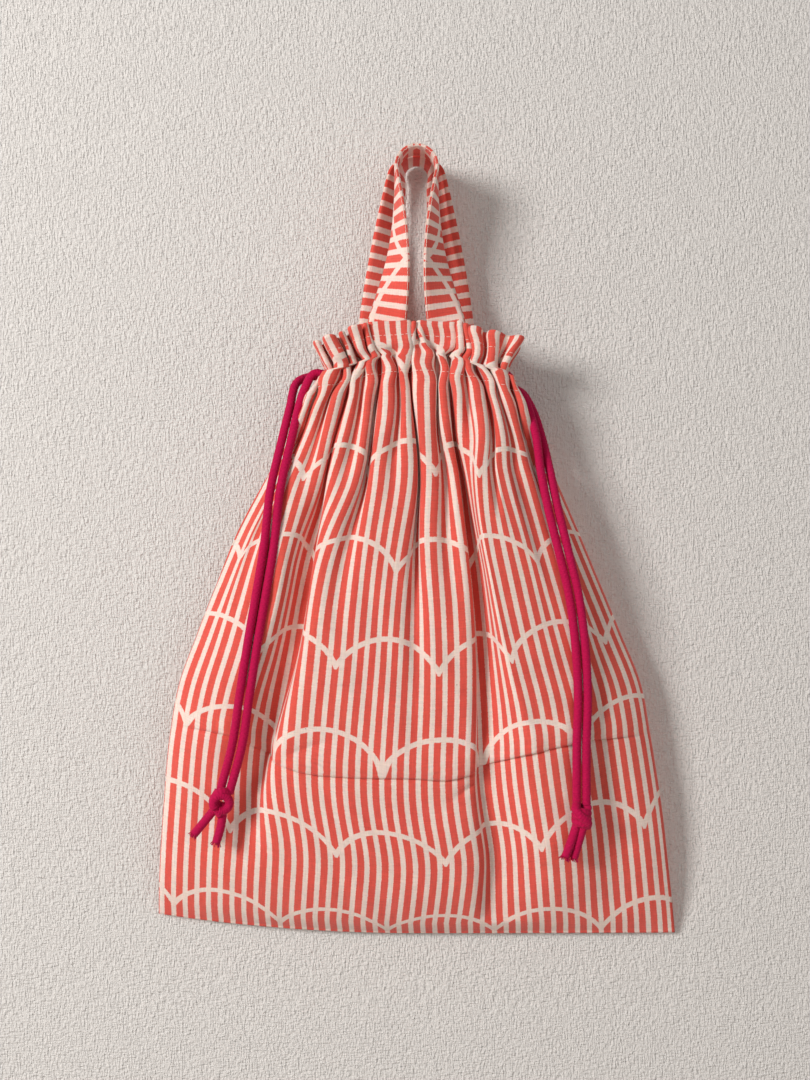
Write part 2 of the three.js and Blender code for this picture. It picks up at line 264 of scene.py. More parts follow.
def bare_scallops(tree, from_cusp, w):
    """The scallop lines that the ink leaves bare: rows of arcs, every other row half a scallop along."""
    up = add(tree, "Math", 0, {0: w, 1: FIRST_ROW - ROW_MARGIN}, operation="SUBTRACT")
    row = add(tree, "Math", 0, {0: up, 1: SCALLOP_ROWS}, operation="DIVIDE")
    row = add(tree, "Math", 0, {0: row}, operation="FLOOR")
    odd = add(tree, "Math", 0, {0: row, 1: 2.0}, operation="FLOORED_MODULO")
    up = add(tree, "Math", 0, {0: up, 1: SCALLOP_ROWS}, operation="FLOORED_MODULO")
    along = add(tree, "Math", 0, {0: odd, 1: -SCALLOP_CHORD / 2, 2: from_cusp}, operation="MULTIPLY_ADD")
    along = add(tree, "Math", 0, {0: along, 1: SCALLOP_CHORD}, operation="FLOORED_MODULO")
    along = add(tree, "Math", 0, {0: along, 1: SCALLOP_CHORD / 2}, operation="SUBTRACT")
    radius = (SCALLOP_CHORD ** 2 / 4 + SCALLOP_RISE ** 2) / (2 * SCALLOP_RISE)
    above = add(tree, "Math", 0, {0: up, 1: radius - SCALLOP_RISE - ROW_MARGIN}, operation="ADD")
    from_middle = add(tree, "CombineXYZ", 0, {0: along, 1: above})
    reach = add(tree, "VectorMath", "Value", {0: from_middle}, operation="LENGTH")
    off = add(tree, "Math", 0, {0: reach, 1: radius}, operation="SUBTRACT")
    off = add(tree, "Math", 0, {0: off}, operation="ABSOLUTE")
    edge = SCALLOP_LINE / 2
    return add(tree, "MapRange", 0, {
        0: off, 1: edge - SCALLOP_BLEED, 2: edge + SCALLOP_BLEED, 3: 1.0, 4: 0.0,
    }, interpolation_type="SMOOTHSTEP")


def crossed_threads(tree, place, stretches, grain, detail):
    """Uneven threads in two directions, added together."""
    threads = []
    for stretch in stretches:
        drawn = add(tree, "VectorMath", 0, {0: place, 1: stretch}, operation="MULTIPLY")
        threads.append(add(tree, "TexNoise", "Fac", {
            "Vector": drawn, "Scale": per_metre(grain), "Detail": detail}))
    return add(tree, "Math", 0, {0: threads[0], 1: threads[1]}, operation="ADD")


def printed_canvas():
    """Unbleached cotton canvas, plain woven and printed with coral ink. It is matte, with a fine uneven
    weave, cream stripes and scallop lines left bare, ink a little patchy and small seed flecks. Some
    light goes through it, and comes out redder."""
    made, tree, shader = new_material("printed_cotton_canvas", {
        "Roughness": 0.88, "Specular IOR Level": 0.2, "Sheen Weight": 0.12, "Sheen Roughness": 0.6,
        "Subsurface Weight": 0.3, "Subsurface Radius": (1.0, 0.3, 0.2), "Subsurface Scale": 0.0015,
    })
    uv = add(tree, "UVMap", 0, {}, uv_map="cloth")
    across = add(tree, "SeparateXYZ", 0, {0: uv})
    upward = across.node.outputs[1]

    # The print, in mm on the cloth, its edges wobbling a little.
    wobble = add(tree, "TexNoise", "Fac", {"Vector": uv, "Scale": per_metre(INK_EDGE), "Detail": 2.0})
    wobble = add(tree, "Math", 0, {0: wobble, 1: INK_WOBBLE, 2: -INK_WOBBLE / 2}, operation="MULTIPLY_ADD")
    u = add(tree, "Math", 0, {0: across, 1: 1 / MM, 2: wobble}, operation="MULTIPLY_ADD")
    w = add(tree, "Math", 0, {0: upward, 1: 1 / MM, 2: wobble}, operation="MULTIPLY_ADD")
    from_cusp = add(tree, "Math", 0, {0: u, 1: FIRST_CUSP}, operation="SUBTRACT")
    bare = add(tree, "Math", 0, {0: bare_stripes(tree, from_cusp), 1: bare_scallops(tree, from_cusp, w)},
               operation="MAXIMUM")
    patchy = add(tree, "TexNoise", "Fac", {
        "Vector": uv, "Scale": per_metre(INK_PATCH), "Detail": 5.0, "Roughness": 0.7})
    ink = add(tree, "Mix", 2, {0: patchy, 6: colour("da4b3f"), 7: colour("e66051")}, data_type="RGBA")
    ground = add(tree, "Mix", 2, {0: patchy, 6: colour("ebcfc2"), 7: colour("f2dbcf")}, data_type="RGBA")
    tone = add(tree, "Mix", 2, {0: bare, 6: ink, 7: ground}, data_type="RGBA")

    # Yarns of uneven shade, along the cloth and across it, and seed flecks.
    thin = CANVAS_GRAIN / YARN_RUN
    canvas = crossed_threads(tree, uv, ((1.0, thin, 1.0), (thin, 1.0, 1.0)), CANVAS_GRAIN, 2.0)
    shade = add(tree, "MapRange", 0, {
        0: canvas, 1: THIN_YARN, 2: THICK_YARN, 3: DARK_YARN, 4: LIGHT_YARN})
    tone = add(tree, "Mix", 2, {0: 1.0, 6: tone, 7: shade}, data_type="RGBA", blend_type="MULTIPLY")
    fleck = add(tree, "TexVoronoi", "Distance", {"Vector": uv, "Scale": per_metre(FLECK_SPACING)})
    fleck = add(tree, "MapRange", 0, {
        0: fleck, 1: FLECK_CORE / FLECK_SPACING, 2: FLECK_RIM / FLECK_SPACING,
        3: FLECK_SHARE, 4: 0.0,
    }, interpolation_type="SMOOTHSTEP")
    tone = add(tree, "Mix", 2, {0: fleck, 6: tone, 7: colour("7a5348")}, data_type="RGBA")

    # The relief of the weave, of thick places in the yarns and of the canvas grain.
    yarn_turn = 2 * math.pi * per_metre(YARN_SPACING)
    warp = add(tree, "Math", 0, {0: across, 1: yarn_turn}, operation="MULTIPLY")
    warp = add(tree, "Math", 0, {0: warp}, operation="SINE")
    weft = add(tree, "Math", 0, {0: upward, 1: yarn_turn}, operation="MULTIPLY")
    weft = add(tree, "Math", 0, {0: weft}, operation="SINE")
    weave = add(tree, "Math", 0, {0: warp, 1: weft}, operation="MULTIPLY")
    slub = add(tree, "TexNoise", "Fac", {"Vector": uv, "Scale": per_metre(SLUB), "Detail": 3.0})
    height = add(tree, "Math", 0, {0: weave, 1: WEAVE_SHARE, 2: slub}, operation="MULTIPLY_ADD")
    height = add(tree, "Math", 0, {0: height, 1: canvas}, operation="ADD")
    bump = add(tree, "Bump", 0, {"Height": height, "Strength": 0.35, "Distance": CANVAS_RELIEF * MM})
    tree.links.new(tone, shader.inputs["Base Color"])
    tree.links.new(bump, shader.inputs["Normal"])
    return made


def braided_cord():
    """Dyed polyester, braided into a round cord: deep pink and matte, with a faint soft shine on the
    yarns and darker hollows between them."""
    made, tree, shader = new_material("braided_polyester_cord", {
        "Roughness": 0.75, "Specular IOR Level": 0.15, "Sheen Weight": 0.04,
    })
    uv = add(tree, "UVMap", 0, {}, uv_map="cloth")
    along = add(tree, "SeparateXYZ", 1, {0: uv})
    rib = add(tree, "Math", 0, {0: along, 1: 2 * math.pi * per_metre(BRAID_PITCH)}, operation="MULTIPLY")
    rib = add(tree, "Math", 0, {0: rib}, operation="SINE")
    fuzz = add(tree, "TexNoise", "Fac", {"Vector": uv, "Scale": per_metre(BRAID_FUZZ), "Detail": 3.0})
    tone = add(tree, "Mix", 2, {0: fuzz, 6: colour("9c0038"), 7: colour("cc0a50")}, data_type="RGBA")
    height = add(tree, "Math", 0, {0: rib, 1: RIB_SHARE, 2: fuzz}, operation="MULTIPLY_ADD")
    bump = add(tree, "Bump", 0, {"Height": height, "Strength": 0.6, "Distance": BRAID_RELIEF * MM})
    tree.links.new(tone, shader.inputs["Base Color"])
    tree.links.new(bump, shader.inputs["Normal"])
    return made


def sewing_thread():
    """Spun cotton thread, cream, a touch lighter than the cloth, matte."""
    return new_material("cream_sewing_thread", {"Base Color": colour("f0ddd0"), "Roughness": 0.7})[0]


def woven_covering(name, text):
    """Woven covering of thick soft threads, for the backdrop and the floor: pale and matte. From behind
    it is clear, and close to the pouch it lets light from behind through, so that the pouch's back can
    be seen."""
    made, tree, shader = new_material(name, {
        "Base Color": colour(text), "Roughness": 0.95, "Specular IOR Level": 0.1,
    })
    place = add(tree, "TexCoord", "Object", {})
    thin = WALL_THREAD / WALL_RUN
    woven = crossed_threads(tree, place, ((1.0, 1.0, thin), (thin, 1.0, 1.0)), WALL_THREAD, 3.0)
    bump = add(tree, "Bump", 0, {"Height": woven, "Strength": 0.9, "Distance": WALL_RELIEF * MM})
    tree.links.new(bump, shader.inputs["Normal"])
    near = add(tree, "LightPath", "Ray Length", {})
    near = add(tree, "Math", 0, {0: near, 1: CLEAR_WITHIN * MM}, operation="LESS_THAN")
    height = add(tree, "SeparateXYZ", 2, {0: place})
    high = add(tree, "Math", 0, {0: height, 1: CLEAR_ABOVE * MM}, operation="GREATER_THAN")
    near = add(tree, "Math", 0, {0: near, 1: high}, operation="MULTIPLY")
    behind = add(tree, "NewGeometry", "Backfacing", {})
    passing = add(tree, "Math", 0, {0: behind, 1: near}, operation="MAXIMUM")
    clear = add(tree, "BsdfTransparent", 0, {})
    mixed = add(tree, "MixShader", 0, {0: passing, 1: shader.outputs[0], 2: clear})
    tree.links.new(mixed, tree.nodes["Material Output"].inputs["Surface"])
    return made


COTTON = printed_canvas()
BRAID = braided_cord()
THREAD = sewing_thread()


# Panels

# A place on a panel is u, across from its middle, and w, up from the bottom fold, both in mm. The rows
# are given as from, to and step, and are close together at the bottom fold, the crease and the neck.
COLUMNS = 221
ROW_STEPS = [(0, 8, 1.0), (8, 101, 3.0), (101, 131, 1.0), (131, 330, 3.0), (330, W_TOP, 1.45)]
FACING_START = 0.8
FACING_STEP = 1.7

# Half the width to the left and to the right of the middle, at heights up the pouch.
LEFT_EDGE = [
    (-452, 152), (-418, 149.5), (-376, 146), (-333, 142), (-304, 136.5), (-276, 126), (-247, 115),
    (-218, 103), (-190, 88), (-161, 73), (-134, 60), (CHANNEL_Z, NECK_HALF)]
RIGHT_EDGE = [
    (-452, 152), (-418, 147), (-376, 141.5), (-333, 134.5), (-304, 128.5), (-276, 116.5),
    (-247, 104.5), (-218, 92.5), (-190, 80.5), (-161, 69), (-134, 58.5), (CHANNEL_Z, NECK_HALF)]

# How high the middle of the front hangs, at places up the cloth, and how much higher a row of the
# print is at its sides, SIDE_SPAN out from the place where it hangs lowest.
MIDDLE_Z = [
    (0, -452), (30, -432), (61, -405), (118, -352), (175, -296.5), (232, -239.5), (289, -183.5),
    (W_CHANNEL, CHANNEL_Z), (W_UPPER_ROW, -106.5), (W_TOP, HEM_TOP)]
SIDE_LIFT = [(0, 0), (30, 11), (61, 20), (118, 24), (175, 17), (232, 8), (289, 0), (W_TOP, 0)]
SIDE_SPAN = 110.0
LOWEST_U = 5.0
LOWEST_ROUND = 25.0
LEFT_LIFT_SHARE = 0.78
DROOP_FROM = 235.0
CORNER_LIFT = 11.0
CORNER_TOP = 260.0

# How far the cloth stands out from the middle of the pouch, at places up it.
FRONT_DEPTH = [
    (0, SEAM_Y), (6, 5), (30, 13.5), (61, 18.5), (118, 22.5), (175, 24), (232, 24), (289, 22), (340, 20)]
BACK_DEPTH = [
    (0, SEAM_Y), (6, 3.5), (30, 8), (61, 10.5), (118, 13), (175, 15), (232, 16), (289, 17), (340, 18)]
SHALLOWEST = 2.0
FULLEST = 5.0

# Between these places the body's folds go over into the gathers of the neck.
NECK_FROM = 292.0
NECK_TO = 338.0

# Folds: where each runs on the cloth near the neck, at mid height and low down; how wide its two
# flanks are; how steep they are; how strong it is at each place of STRENGTH_AT.
PLACES_AT = (350, 200, 40)
STRENGTH_AT = (374, 350, 290, 230, 170, 110, 50)
FRONT_FOLDS = [
    ((-151, -151, -151), (4.0, 4.0), (1, 1), (1.0, 1.0, 0, 0, 0, 0, 0)),
    ((-132, -132, -130), (3.8, 4.2), (1, 1), (1.0, 1.0, 0.5, 0.25, 0.1, 0, 0)),
    ((-110, -110, -110), (3.2, 3.2), (1, 1), (1.0, 0.9, 0.15, 0, 0, 0, 0)),
    ((-90, -88, -86), (4.4, 4.0), (1, 1), (1.0, 1.0, 0.5, 0, 0, 0, 0)),
    ((-69, -69, -69), (3.2, 3.2), (1, 1), (1.0, 0.8, 0.1, 0, 0, 0, 0)),
    ((-50, -50, -50), (4.4, 4.2), (1, 1), (1.0, 1.0, 0.5, 0.15, 0, 0, 0)),
    ((-27, -27, -27), (3.0, 3.0), (1, 1), (0, 0.7, 0.1, 0, 0, 0, 0)),
    ((-6, 0, 2), (4.4, 4.4), (1, 1), (0, 1.0, 0.8, 0.35, 0.1, 0, 0)),
    ((23, 24, 24), (3.8, 4.2), (1, 1), (0, 1.0, 0.5, 0.1, 0, 0, 0)),
    ((47, 47, 46), (4.2, 4.2), (1, 1), (1.0, 1.0, 0.4, 0, 0, 0, 0)),
    ((67, 67, 67), (3.2, 3.2), (1, 1), (1.0, 0.8, 0.1, 0, 0, 0, 0)),
    ((88, 88, 90), (4.2, 4.6), (1, 1), (1.0, 1.0, 0.5, 0.2, 0.05, 0, 0)),
    ((109, 109, 109), (3.2, 3.2), (1, 1), (0.35, 0.8, 0.1, 0, 0, 0, 0)),
    ((129, 126, 122), (4.2, 4.4), (1, 1), (0.15, 1.0, 0.6, 0.35, 0.2, 0.1, 0)),
    ((151, 151, 151), (5.0, 5.0), (1, 1), (0.8, 1.0, 0, 0, 0, 0, 0)),
    ((-9, -9, -9), (3.6, 3.6), (1, 1), (0.6, 0, 0, 0, 0, 0, 0)),
    ((10, 10, 10), (3.6, 3.6), (1, 1), (0.6, 0, 0, 0, 0, 0, 0)),
    ((46, 46, 44), (5, 17), (1.5, 0.6), (0, 0, 0.7, 1.0, 1.0, 0.6, 0.3)),
    ((-98, -82, -104), (15, 7), (0.6, 1.3), (0, 0, 0.1, 0.75, 1.0, 0.7, 0.05)),
    ((112, 114, 118), (12, 12), (0.6, 0.6), (0, 0, 0.3, 0.4, 0.3, 0.3, 0.2)),
    ((-132, -128, -126), (10, 10), (0.5, 0.5), (0, 0, 0.2, 0.4, 0.3, 0.2, 0.1)),
]

# The back's gathers, long and short by turns, and its even folds lower down.
LONG_GATHER = (1.0, 1.0, 0.5, 0.2, 0.1, 0, 0)
SHORT_GATHER = (1.0, 1.0, 0.4, 0.1, 0, 0, 0)
BODY_FOLD = (0, 0, 0.3, 0.8, 1.0, 0.8, 0.4)
BACK_GATHERS = [
    ((-139, -137, -135), 3.0), ((-118, -116, -114), 3.2), ((-96, -94, -92), 3.0),
    ((-74, -72, -70), 3.2), ((-36, -42, -42), 3.2), ((-22, -22, -22), 3.2), ((0, 0, 0), 3.2),
    ((21, 21, 21), 3.0), ((37, 42, 42), 3.2), ((74, 72, 70), 3.2), ((95, 94, 92), 3.0),
    ((117, 116, 114), 3.2), ((139, 137, 135), 3.0)]
BACK_BODY_FOLDS = (-127, -99, -70, -42, -14, 14, 42, 70, 99, 127)
BACK_FOLDS = []
for number, (places, flank) in enumerate(BACK_GATHERS):
    BACK_FOLDS.append((places, (flank, flank), (1, 1), SHORT_GATHER if number % 2 else LONG_GATHER))
for place in BACK_BODY_FOLDS:
    BACK_FOLDS.append(((place, place, place), (6, 6), (0.8, 0.8), BODY_FOLD))

# The gathers sway a little from row to row near the neck: how far, from where to where, how often.
SWAY = 1.4
SWAY_FROM = 290.0
SWAY_TO = 345.0
SWAY_RUN = 13.0
SWAY_TURN = 2.4

# The steepest that the cloth turns, in radians. The rows are drawn up by halving a range of tightness.
STEEPEST = 1.75
TIGHTEST = 40.0
HALVINGS = 40

# The stripes fan in to the neck: over how many columns the folds are evened out, how much, and where.
FAN_COLUMNS = 22
FAN_SHARE = 0.8
FAN_FROM = 70.0
FAN_TO = 190.0

# Puckers under the cords: how big, where, how far they reach, and their waves.
PUCKER = (2.0, 352.0, 10.0)
PUCKER_ACROSS = 7.3
PUCKER_UP = 4.1
PUCKER_SLANT = 21.0

# A row is set to the swell's depth where this share of its cloth lies further in. The columns near its
# two ends don't count.
MARGIN_COLUMNS = 40
SWELL_PERCENT = 85

# The side seams hold the panels together and round them off to the sides. They let the panels part
# between these places below the lower stitching.
SEAM_OPENS = 32.0
SEAM_OPEN = 2.0
SEAM_POWER = 3.5
SEAM_ROUND = 0.8
SEAM_PINCH = 0.9999

# Ripples all over the cloth: how high, how many, the longest and the shortest. The cloth is stiffer at
# the bottom fold, at the sides and in the neck.
RIPPLE = 0.35
RIPPLE_WAVES = (14, 70, 16)
STIFF_FOLD = 30.0
STIFF_SIDES = 6
STIFF_NECK = 0.6

# How far above CREASE_W the ironed crease runs, at places across the cloth. The cloth swells above
# it, is cut in along it and hangs over it: how much, how far above it, and how wide.
CREASE_W = 110.0
CREASE_RISE = [
    (-150, 3), (-113, 8), (-88, 3), (-59, 0), (-30, 3), (0, 6), (22, 4), (46, 7), (75, 9), (101, 9),
    (143, 1), (150, 0)]
CREASE_SWELL = (2.6, 7.0, 6.0)
CREASE_CUT = 3.0
CREASE_CUT_WIDTH = 1.6
CREASE_OVERHANG = (4.6, 3.5, 2.8)

# Small slanting dents where the two long folds end at the crease: place, height and tilt.
BUCKLES = [(-88, 116, -0.55), (34, 106, 0.5), (-62, 122, 0.5)]
BUCKLE_DEPTH = 2.4
BUCKLE_WIDTH = 2.2
BUCKLE_LENGTH = 13.0

# The bottom edge is set back, in a curve that ends this far up.
BASE_SET_BACK = 14.0
BASE_HEIGHT = 75.0

# How far the frill leans out, in degrees, and spreads sideways, at places across the cloth. The
# back's frill leans only a little. Its lobes stand higher at their crests.
FRILL_LEAN = [
    (-150, 10), (-120, 34), (-100, 30), (-80, 24), (-56, 8), (-44, 2), (-31, 0), (-19, 2), (0, 14),
    (19, 2), (31, -2), (44, 2), (60, 6), (90, 8), (120, 14), (150, 10)]
FRILL_SPREAD = [
    (-150, -0.3), (-110, -0.2), (-60, -0.1), (0, 0), (60, 0.03), (100, 0.05), (130, 0.2), (150, 0.15)]
BACK_LEAN_SHARE = 0.05
CREST_RISE = 4.0

# Where the straps are sewn on, this far to each side, the hem lies flat over this half width.
FRONT_STRAP_U = 31.0
BACK_STRAP_U = 50.0
STRAP_SEAT_HALF = 11.5

# The back is pressed flatter where it stands out further than this.
PRESSED_FROM = 18.0
PRESSED_SHARE = 0.42

# The turned-in hem leaves the frill between these depths below the top. At the back it keeps a gap to
# the frill, stays this close behind a strap, and stands out only so much further than the neck.
FACING_LEAVES = 8.0
FACING_FLAT = 14.0
FACING_GAP = 1.1
FACING_AT_STRAP = 7.6
FACING_OUT = 14.0
FACING_NARROWER = 9.0

# The print slips a little at the left bottom corner and at the right seam.
CORNER_SLIP = 5.4
CORNER_SLIP_TOP = 61.0
SEAM_SLIP = 2.2
SEAM_SLIP_FROM = 0.95


def panel_rows():
    """The rows of a panel's outside and of its turned-in hem."""
    outer = np.concatenate([np.arange(*steps) for steps in ROW_STEPS] + [[W_TOP]])
    facing = np.arange(W_TOP + FACING_START, W_FACING, FACING_STEP)
    return outer, facing


def hang_heights(u, w):
    """How high each place hangs: rows sag to the middle, the neck droops at its ends and the left
    bottom corner is drawn up."""
    a = u / FLAT_HALF
    bend = np.sqrt((u - LOWEST_U) ** 2 + LOWEST_ROUND ** 2) - LOWEST_ROUND
    bend = bend * np.where(u < LOWEST_U, LEFT_LIFT_SHARE, 1.0)
    lift = smooth(SIDE_LIFT, w) * bend / SIDE_SPAN
    lift = lift - NECK_DROOP * ease(DROOP_FROM, W_CHANNEL, w) * a ** 2
    corner = CORNER_LIFT * np.clip(-a, 0, 1) ** 2 * (1 - ease(0, CORNER_TOP, w))
    return smooth(MIDDLE_Z, w) + lift + corner


def fold_slopes(folds, u, w):
    """How steeply the cloth turns in or out at each place, before it is drawn up to its width."""
    slope = np.zeros((w.size, u.size))
    for number, (places, flanks, steep, strengths) in enumerate(folds):
        centre = smooth(list(zip(PLACES_AT[::-1], places[::-1])), w)
        centre = centre + SWAY * ease(SWAY_FROM, SWAY_TO, w) * np.sin(w / SWAY_RUN + SWAY_TURN * number)
        strength = smooth([(0, 0)] + list(zip(STRENGTH_AT[::-1], strengths[::-1])), w)
        away = u - centre
        left = away < 0
        s = away / np.where(left, flanks[0], flanks[1])
        lobe = s * np.exp(0.5 * (1 - s * s)) * np.where(left, steep[0], steep[1])
        slope += np.clip(strength, 0, None) * lobe
    return slope


def draw_up(slope, u, widths):
    """Turns the cloth until each row is as wide as it hangs; gives its place across and its depth."""
    step = np.diff(u)

    def lengths(amount):
        angle = STEEPEST * np.tanh(amount * slope / STEEPEST)
        middle = (angle[:, 1:] + angle[:, :-1]) / 2
        return np.cos(middle) * step, np.sin(middle) * step

    start = np.zeros_like(widths)
    low = start
    high = np.full_like(widths, TIGHTEST)
    for _ in range(HALVINGS):
        amount = (low + high) / 2
        wide = lengths(amount)[0].sum(axis=1, keepdims=True) > widths
        low = np.where(wide, amount, low)
        high = np.where(wide, high, amount)
    across, deep = lengths((low + high) / 2)
    x = np.concatenate([start, np.cumsum(across, axis=1)], axis=1)
    d = np.concatenate([start, np.cumsum(deep, axis=1)], axis=1)
    x = (x - x[:, -1:] / 2) * (widths / x[:, -1:])
    d -= d[:, -1:] * (u - u[:, :1]) / (u[:, -1:] - u[:, :1])
    return x, d


def gathered_width(folds, strap, u, w, z):
    """Where each place of a panel is across, and how deep in its fold."""
    flared = NECK_HALF + FRILL_FLARE * (w - W_CHANNEL) / (W_TOP - W_CHANNEL)
    left = np.where(w > W_CHANNEL, flared, smooth(LEFT_EDGE, z[:, :1]))
    right = np.where(w > W_CHANNEL, flared, smooth(RIGHT_EDGE, z[:, -1:]))
    slope = fold_slopes(folds, u, w) * (1 - strap * ease(W_CHANNEL - 1, W_FRILL + 2, w))
    x, d = draw_up(slope, u, left + right)
    x = x + (right - left) / 2
    # The stripes fan in evenly from the bottom to the neck, whatever the folds take up.
    drift = x - np.where(u < 0, left, right) * u / FLAT_HALF
    spread = np.exp(-0.5 * (np.arange(-3 * FAN_COLUMNS, 3 * FAN_COLUMNS + 1) / FAN_COLUMNS) ** 2)
    drift = np.array([np.convolve(row, spread / spread.sum(), "same") for row in drift])
    x = x - FAN_SHARE * ease(FAN_FROM, FAN_TO, w) * drift
    # Small puckers where the cords draw the cloth together.
    x = x + bell(w, *PUCKER) * np.sin(u / PUCKER_ACROSS) * np.sin(w / PUCKER_UP + u / PUCKER_SLANT)
    return x, d


def swelled_depth(depths, d, inner, u, w):
    """How far each place stands out from the middle of the pouch, and how softly the cloth hangs there."""
    a = np.abs(u / FLAT_HALF)
    neck = ease(NECK_FROM, NECK_TO, w)
    swell = smooth(depths, w)
    middle_columns = d[:, MARGIN_COLUMNS:-MARGIN_COLUMNS]
    crest = np.percentile(middle_columns, SWELL_PERCENT, axis=1, keepdims=True)
    body = np.minimum(np.clip(swell + d - crest, SHALLOWEST, None), swell + FULLEST)
    depth = body * (1 - neck) + (NECK_Y + inner) * neck
    sewn = 1 - ease(W_LOWER_ROW - SEAM_OPENS, W_LOWER_ROW - SEAM_OPEN, w)
    rounded = (1 - a ** SEAM_POWER * SEAM_PINCH) ** SEAM_ROUND
    depth = SEAM_Y + (depth - SEAM_Y) * (1 - sewn * (1 - rounded))
    soft = ease(0, STIFF_FOLD, w) * (1 - a ** STIFF_SIDES) * (1 - STIFF_NECK * neck)
    return depth + RIPPLE * soft * ripples(u, w, *RIPPLE_WAVES), soft


def buckle(depth, u, w, place, height, tilt):
    """Presses a short slanting dent into the cloth."""
    along = (u - place) * math.cos(tilt) + (w - height) * math.sin(tilt)
    off = (w - height) * math.cos(tilt) - (u - place) * math.sin(tilt)
    return depth - BUCKLE_DEPTH * np.exp(-np.abs(off) / BUCKLE_WIDTH - (along / BUCKLE_LENGTH) ** 2)


def turned_in_hem(side, strap, depth, x, z, u, outer, facing):
    """The hem, over the top and down inside, behind the cords, to the lower stitching. In front it goes
    straight down; at the back it follows the frill first."""
    beside = np.clip(2 * W_TOP - facing, outer[0], outer[-1])

    def at(values):
        return np.array([np.interp(beside, outer, column) for column in values.T]).T

    inside = ease(FACING_LEAVES, FACING_FLAT, (facing - W_TOP)[:, None])
    lining = np.full((len(facing), u.size), LINING_Y)
    if side > 0:
        near = at(depth) - FACING_GAP
        near = np.where(strap > 0.5, np.minimum(near, FACING_AT_STRAP), near)
        near = np.maximum(near, LINING_Y)
        lining = near * (1 - inside) + LINING_Y * inside
        lining = np.minimum(lining, NECK_Y - 1 + FACING_OUT * (1 - inside))
    straight = u / FLAT_HALF * (NECK_HALF - FACING_NARROWER)
    return at(x) * (1 - inside) + straight * inside, side * lining, at(z)


def build_panel(name, side, folds, depths, strap_u, node):
    """A panel of cloth, from the bottom fold up to the frill and down inside. side is -1 in front."""
    outer, facing = panel_rows()
    u = np.linspace(-FLAT_HALF, FLAT_HALF, COLUMNS)[None, :]
    w = outer[:, None]
    z = hang_heights(u, w)
    strap = np.exp(-(((np.abs(u) - strap_u) / STRAP_SEAT_HALF) ** 8))
    x, d = gathered_width(folds, strap, u, w, z)
    inner = d - d.min(axis=1, keepdims=True)
    depth, soft = swelled_depth(depths, d, inner, u, w)

    crease = w - CREASE_W - smooth(CREASE_RISE, u)
    cut = CREASE_CUT * np.exp(-np.abs(crease) / CREASE_CUT_WIDTH)
    depth = depth + soft * (bell(crease, *CREASE_SWELL) - cut)
    z = z - soft * bell(crease, *CREASE_OVERHANG)
    if side < 0:
        for place, height, tilt in BUCKLES:
            depth = buckle(depth, u, w, place, height, tilt)

    # The frill leans out in lobes, except where the straps hold it up.
    above = np.clip(w - W_FRILL, 0, None)
    lean = np.radians(smooth(FRILL_LEAN, u)) * (1.0 if side < 0 else BACK_LEAN_SHARE)
    depth = depth + above * np.sin(lean)
    z = z - above * (1 - np.cos(lean))
    x = x + above * smooth(FRILL_SPREAD, u)
    crests = (inner / (inner.max(axis=1, keepdims=True) + 0.01) - 0.5) * (1 - strap)
    z = z + CREST_RISE * crests * ease(W_FRILL, W_TOP, w)
    if side > 0:
        depth = np.where(depth > PRESSED_FROM, PRESSED_FROM + PRESSED_SHARE * (depth - PRESSED_FROM), depth)
    y = side * depth + BASE_SET_BACK * (1 - np.clip(w / BASE_HEIGHT, 0, 1)) ** 2

    hem = turned_in_hem(side, strap, depth, x, z, u, outer, facing)
    points = np.stack([np.concatenate(pair) for pair in zip((x, y, z), hem)], axis=-1)
    rows = np.concatenate([outer, facing])
    a = u / FLAT_HALF
    slip = CORNER_SLIP * np.clip(-a, 0, 1) ** 1.5 * (1 - ease(0, CORNER_SLIP_TOP, rows[:, None]))
    print_u = u + SEAM_SLIP * ease(SEAM_SLIP_FROM, 1, a)
    uvs = np.stack(np.broadcast_arrays(print_u, rows[:, None] - slip), axis=-1)
    faces = grid_faces(len(rows), COLUMNS, flip=side > 0)
    made = make_object(name, points.reshape(-1, 3), faces, uvs.reshape(-1, 2))
    thick = made.modifiers.new("cloth_thickness", "SOLIDIFY")
    thick.thickness = CLOTH * MM
    thick.offset = 0
    finish_piece(made, COTTON, "printed_cotton", node)
    return points, rows


front_cloth = build_panel(
    "front_panel_cloth", -1, FRONT_FOLDS, FRONT_DEPTH, FRONT_STRAP_U, "front_panel")
back_cloth = build_panel(
    "back_panel_cloth", 1, BACK_FOLDS, BACK_DEPTH, BACK_STRAP_U, "back_panel")


# Tubes, for cords and thread

# The bumps of a braid: how many there are round the cord, how long a pair is and how high they are.
BRAID_YARNS = 6
BRAID_RUN = 2.6
BRAID_BUMP = 0.045


